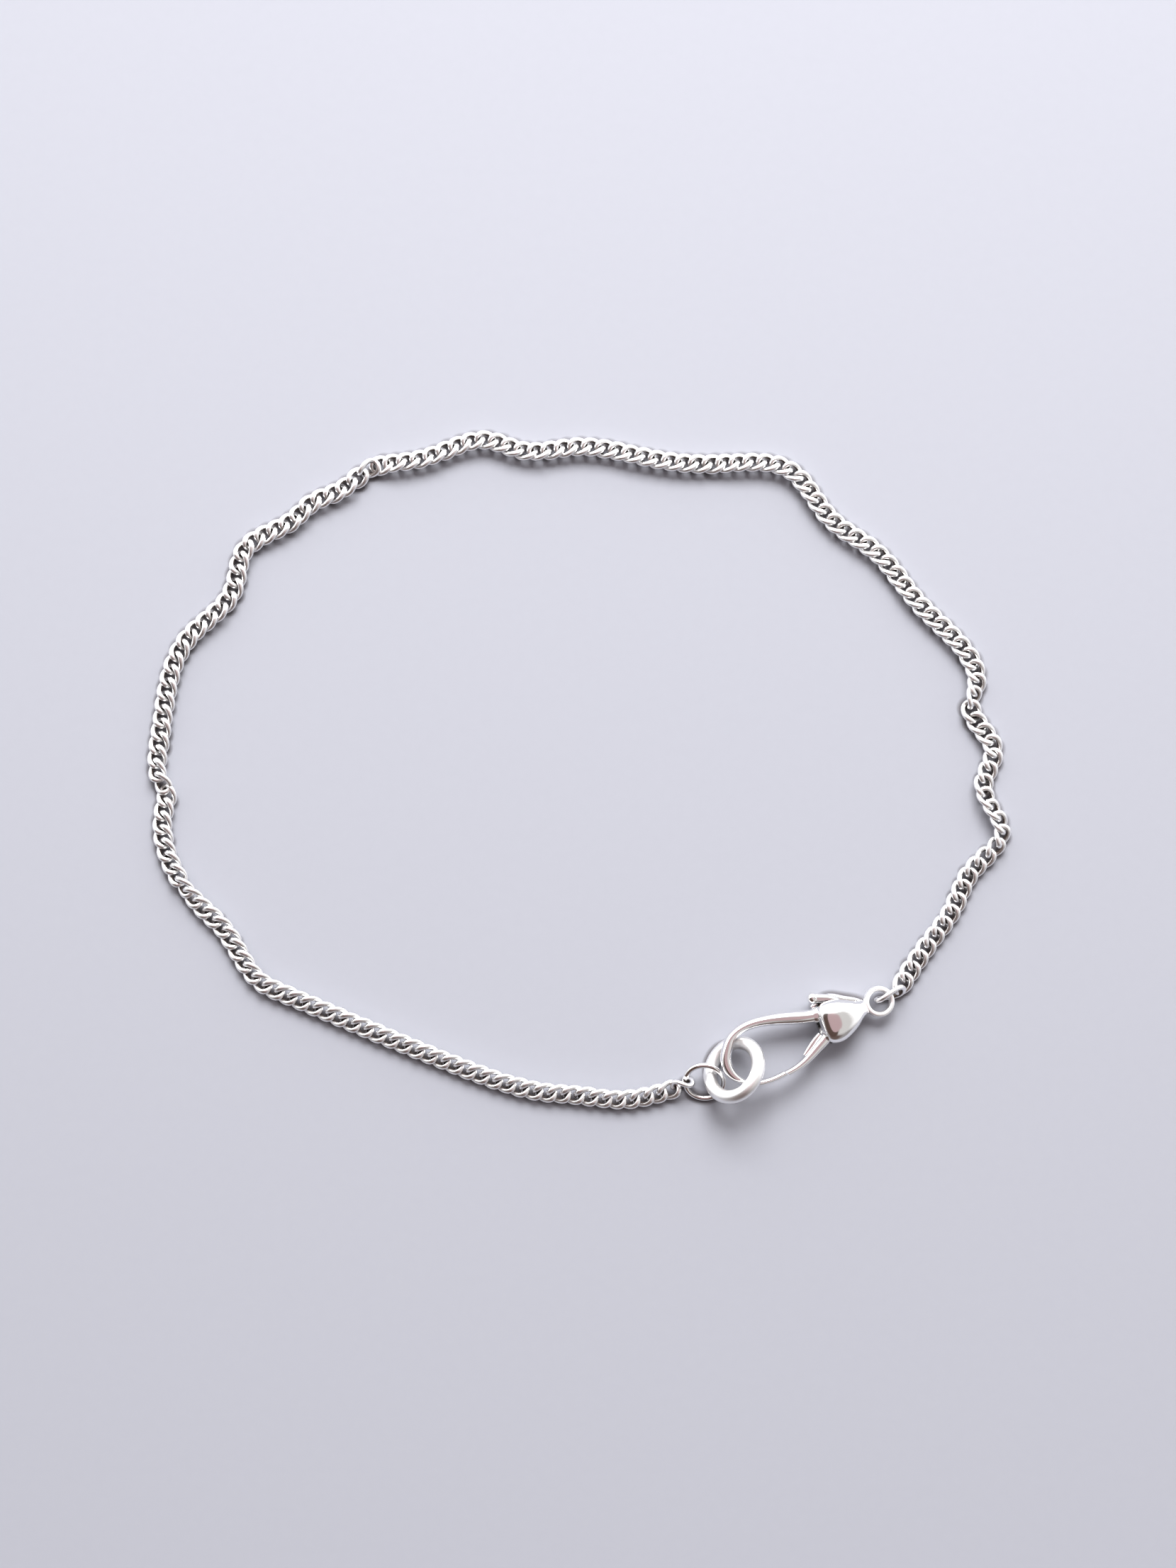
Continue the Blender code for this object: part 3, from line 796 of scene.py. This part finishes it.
def rest_block():
    """What lies below the surface, which wears the casting's small flat."""
    bm = bmesh.new()
    block = Matrix.Translation((*CLASP_EYE_AT[:2], -REST_BLOCK[2] / 2))
    bmesh.ops.create_cube(bm, size=1.0, matrix=block @ Matrix.Diagonal((*REST_BLOCK, 1.0)))
    bmesh.ops.transform(bm, matrix=clasp_place().inverted(), verts=bm.verts)
    return finished("rest_block", bm, None)


def strip_object(name, sections, steps, level, squareness):
    """A lofted strip of metal at its own height above the clasp's middle."""
    bm = bmesh.new()
    loft(bm, wire_stations(sections, steps), 28, squareness)
    bmesh.ops.translate(bm, vec=(0.0, 0.0, level), verts=bm.verts)
    return finished(name, bm, None)


def build_clasp_body(sizes, finish):
    body = finished("clasp_casting", shell_bmesh(sizes.shell_squareness), finish)
    hook = bmesh.new()
    loft(hook, wire_stations(HOOK_SECTIONS, 120), 32, 2.3)
    keep_side_of_tip(hook, -1)
    reach = PIN_RADIUS + PIN_CLEARANCE
    deep = PIN_REACH + PIN_CLEARANCE
    crease = sizes.eye_outer / 2 + NECK_CREASE
    core = sizes.eye_thickness * NECK_CORE
    combine(body, (
        ("UNION", finished("hook", hook, None)),
        ("UNION", strip_object("collar", COLLAR_SECTIONS, 12, 0.0, 2.6)),
        ("DIFFERENCE", slot_object()),
        ("UNION", strip_object("guard", GUARD_SECTIONS, 40, GUARD_LEVEL, 3.0)),
        ("DIFFERENCE", cylinder("crease", crease, core, sizes.eye_thickness)),
        ("DIFFERENCE", cylinder("under_crease", crease, -sizes.eye_thickness, -core)),
        ("UNION", eye_object(sizes)),
        ("DIFFERENCE", cylinder("eye_bore", sizes.eye_hole / 2 - 0.00001,
                                -sizes.eye_thickness, sizes.eye_thickness)),
        ("DIFFERENCE", cylinder("pin_bore", reach, -deep, deep, PIN_AT)),
        ("DIFFERENCE", rest_block()),
    ))
    place_mesh(body, clasp_place())
    return body


def build_clasp_lever(finish):
    gate = bmesh.new()
    loft(gate, wire_stations(GATE_SECTIONS, 60), 28, 2.6)
    keep_side_of_tip(gate, 1)
    lever = finished("clasp_gate_lever", gate, finish)
    arm = bmesh.new()
    loft(arm, wire_stations(TRIGGER_SECTIONS, 24), 28, 2.6)
    knob = bmesh.new()
    place = Matrix.Translation((*KNOB_AT, 0.0))
    half = Matrix.Diagonal((*(side / 2 for side in KNOB_SIZE), 1.0))
    bmesh.ops.create_uvsphere(knob, u_segments=40, v_segments=24, radius=1.0, matrix=place @ half)
    dimple = bmesh.new()
    aside_u, aside_v = DIMPLE_OFFSET
    place = Matrix.Translation((KNOB_AT[0] + aside_u, KNOB_AT[1] + aside_v, DIMPLE_HEIGHT))
    bmesh.ops.create_uvsphere(
        dimple, u_segments=32, v_segments=24, radius=DIMPLE_RADIUS, matrix=place
    )
    combine(lever, (
        ("UNION", cylinder("hub", HUB_RADIUS, -HUB_HALF, HUB_HALF, PIN_AT)),
        ("UNION", finished("arm", arm, None)),
        ("UNION", finished("knob", knob, None)),
        ("DIFFERENCE", finished("dimple", dimple, None)),
        ("UNION", strip_object("flange", FLANGE_SECTIONS, 24, FLANGE_LEVEL, 2.6)),
        ("DIFFERENCE", cylinder("hub_bore", PIN_RADIUS + PIN_CLEARANCE,
                                -HUB_BORE_REACH, HUB_BORE_REACH, PIN_AT)),
    ))
    place_mesh(lever, clasp_place())
    return lever


def aimed(name, data, place, target):
    """A light or a camera at its place, looking at the target."""
    thing = bpy.data.objects.new(name, data)
    thing.location = place
    thing.rotation_euler = (Vector(target) - Vector(place)).to_track_quat("-Z", "Y").to_euler()
    bpy.context.scene.collection.objects.link(thing)
    return thing


def key_light():
    light = bpy.data.lights.new("key_softbox", "AREA")
    light.shape = "RECTANGLE"
    light.size, light.size_y = KEY_SIZE
    light.energy = KEY_WATTS
    aimed("key_softbox", light, KEY_AT, (0.0, 0.0, 0.0))


def sky_world():
    """A pale studio tent, brighter towards +Y, with darker and rosy panels overhead."""
    world = bpy.data.worlds.new("studio_tent")
    bpy.context.scene.world = world
    world.use_nodes = True
    tent = Nodes(world.node_tree)
    direction = tent.wire("ShaderNodeTexCoord", {}, {}, "Generated")

    def towards(axis, first, last):
        """How far a direction lies inside a cone, from 0 at its rim to 1, by two angles."""
        settings = {"operation": "DOT_PRODUCT"}
        inputs = {0: direction, 1: Vector(axis).normalized()}
        along = tent.wire("ShaderNodeVectorMath", settings, inputs, "Value")
        low, high = math.cos(math.radians(first)), math.cos(math.radians(last))
        return ((along - low) * (1.0 / (high - low))).clipped()

    sky = opaque(SKY_BELOW)
    for axis, first, last, shade in SKY_CONES:
        sky = tent.mix(towards(axis, first, last), sky, opaque(shade))
    background = world.node_tree.nodes["Background"]
    tent.plug(background.inputs["Color"], sky)
    background.inputs["Strength"].default_value = 1.0


def build_floor(rgb):
    bm = bmesh.new()
    bmesh.ops.create_grid(bm, x_segments=1, y_segments=1, size=FLOOR_HALF)
    finish = Finish("pale_floor")
    speckle = finish.noise(finish.place(), 900.0, 3.0, 0.6)
    shade = finish.mix(speckle * 0.25, opaque(rgb), opaque(tuple(c * 0.86 for c in rgb)))
    # Painted contact shadow: ambient occlusion darkens the floor's colour beside and under the
    # pieces.
    settings, inputs = {"samples": 12}, {"Distance": PAINTED_SHADOW_REACH}
    open_air = finish.wire("ShaderNodeAmbientOcclusion", settings, inputs, "AO")
    shade = finish.mix(open_air ** PAINTED_SHADOW_STRENGTH, opaque(PAINTED_CONTACT_SHADOW_COLOUR), shade)
    finish.plug(finish.shader.inputs["Base Color"], shade)
    finish.shader.inputs["Roughness"].default_value = 0.85
    floor = finished("floor", bm, finish.material)


class AnkletOperator(bpy.types.Operator):
    bl_options = {"REGISTER", "UNDO"}


class ANKLET_OT_chain(AnkletOperator):
    """Lays the curb links along the route"""

    bl_idname = "anklet.chain"
    bl_label = "Curb chain"

    def execute(self, context):
        bm = chain_bmesh(context.scene.anklet_chain)
        links = finished("curb_links", bm, chain_finish(), ALL_SMOOTH)
        subdivided(links, 1)
        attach(links, "anklet")
        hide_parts("chain")
        return {"FINISHED"}


class ANKLET_OT_single_links(AnkletOperator):
    """Makes the link round the jump ring and the link in the clasp's eye"""

    bl_idname = "anklet.single_links"
    bl_label = "Single links"

    def execute(self, context):
        finish = chain_finish()
        for name, node, link, place in (
            ("first_link", "ring_link", RING_LINK, RING_LINK_PLACE),
            ("eye_link", "end_link", END_LINK, END_LINK_PLACE),
        ):
            bm = link_bmesh(link["length"], link["width"], link["wire"], link["turns"], 64, 20)
            bmesh.ops.transform(bm, matrix=link_place(place), verts=bm.verts)
            piece = finished(name, bm, finish, ALL_SMOOTH)
            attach(piece, "anklet")
            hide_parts(node)
        return {"FINISHED"}


class ANKLET_OT_rings(AnkletOperator):
    """Makes the thick catch ring and the thin jump ring"""

    bl_idname = "anklet.rings"
    bl_label = "Rings"

    def execute(self, context):
        for name, node, ring, at, finish in (
            ("thick_catch_ring", "catch_ring", CATCH_RING, CATCH_RING_AT, ring_finish()),
            ("thin_jump_ring", "jump_ring", JUMP_RING, JUMP_RING_AT, clasp_finish()),
        ):
            bm = ring_bmesh(ring["radius"], ring["wire"], 120, 36)
            bmesh.ops.transform(bm, matrix=leaning(ring, at), verts=bm.verts)
            piece = finished(name, bm, finish, ALL_SMOOTH)
            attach(piece, "anklet")
            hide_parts(node)
        return {"FINISHED"}


class ANKLET_OT_clasp(AnkletOperator):
    """Makes the clasp's casting, its lever and its pin's finish"""

    bl_idname = "anklet.clasp"
    bl_label = "Lobster clasp"

    def execute(self, context):
        body = build_clasp_body(context.scene.anklet_clasp, clasp_finish())
        lever = build_clasp_lever(clasp_finish())
        for piece, body_name, node in (
            (body, "anklet", "clasp_body"),
            (lever, "lever", "clasp_lever"),
        ):
            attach(piece, body_name)
            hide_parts(node)
        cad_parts["clasp_pin"].material_slots[0].material = pin_finish()
        return {"FINISHED"}


class ANKLET_OT_stage(AnkletOperator):
    """Sets the floor, the soft light and the camera"""

    bl_idname = "anklet.stage"
    bl_label = "Stage"

    def execute(self, context):
        settings = context.scene.anklet_stage
        build_floor(tuple(settings.floor))
        sky_world()
        key_light()
        lens = bpy.data.cameras.new("camera")
        lens.lens = settings.lens
        context.scene.camera = aimed("camera", lens, CAMERA_AT, CAMERA_TARGET)
        context.scene.view_settings.view_transform = "Standard"
        return {"FINISHED"}


class ANKLET_PT_panel(bpy.types.Panel):
    bl_label = "Chain anklet"
    bl_idname = "ANKLET_PT_panel"
    bl_space_type = "VIEW_3D"
    bl_region_type = "UI"
    bl_category = "Anklet"

    def draw(self, context):
        for operator in OPERATORS:
            self.layout.operator(operator.bl_idname)
        for name in SETTINGS:
            box = self.layout.box()
            settings = getattr(context.scene, name)
            for key in settings.__annotations__:
                box.prop(settings, key)


OPERATORS = (
    ANKLET_OT_chain, ANKLET_OT_single_links, ANKLET_OT_rings, ANKLET_OT_clasp, ANKLET_OT_stage,
)
CLASSES = (*SETTINGS.values(), *OPERATORS, ANKLET_PT_panel)


def register():
    for item in CLASSES:
        bpy.utils.register_class(item)
    for name, group in SETTINGS.items():
        setattr(bpy.types.Scene, name, PointerProperty(type=group))


def unregister():
    for name in SETTINGS:
        delattr(bpy.types.Scene, name)
    for item in reversed(CLASSES):
        bpy.utils.unregister_class(item)


def main():
    register()
    for step in (
        bpy.ops.anklet.chain, bpy.ops.anklet.single_links, bpy.ops.anklet.rings,
        bpy.ops.anklet.clasp, bpy.ops.anklet.stage,
    ):
        step()


if __name__ == "__main__":
    main()
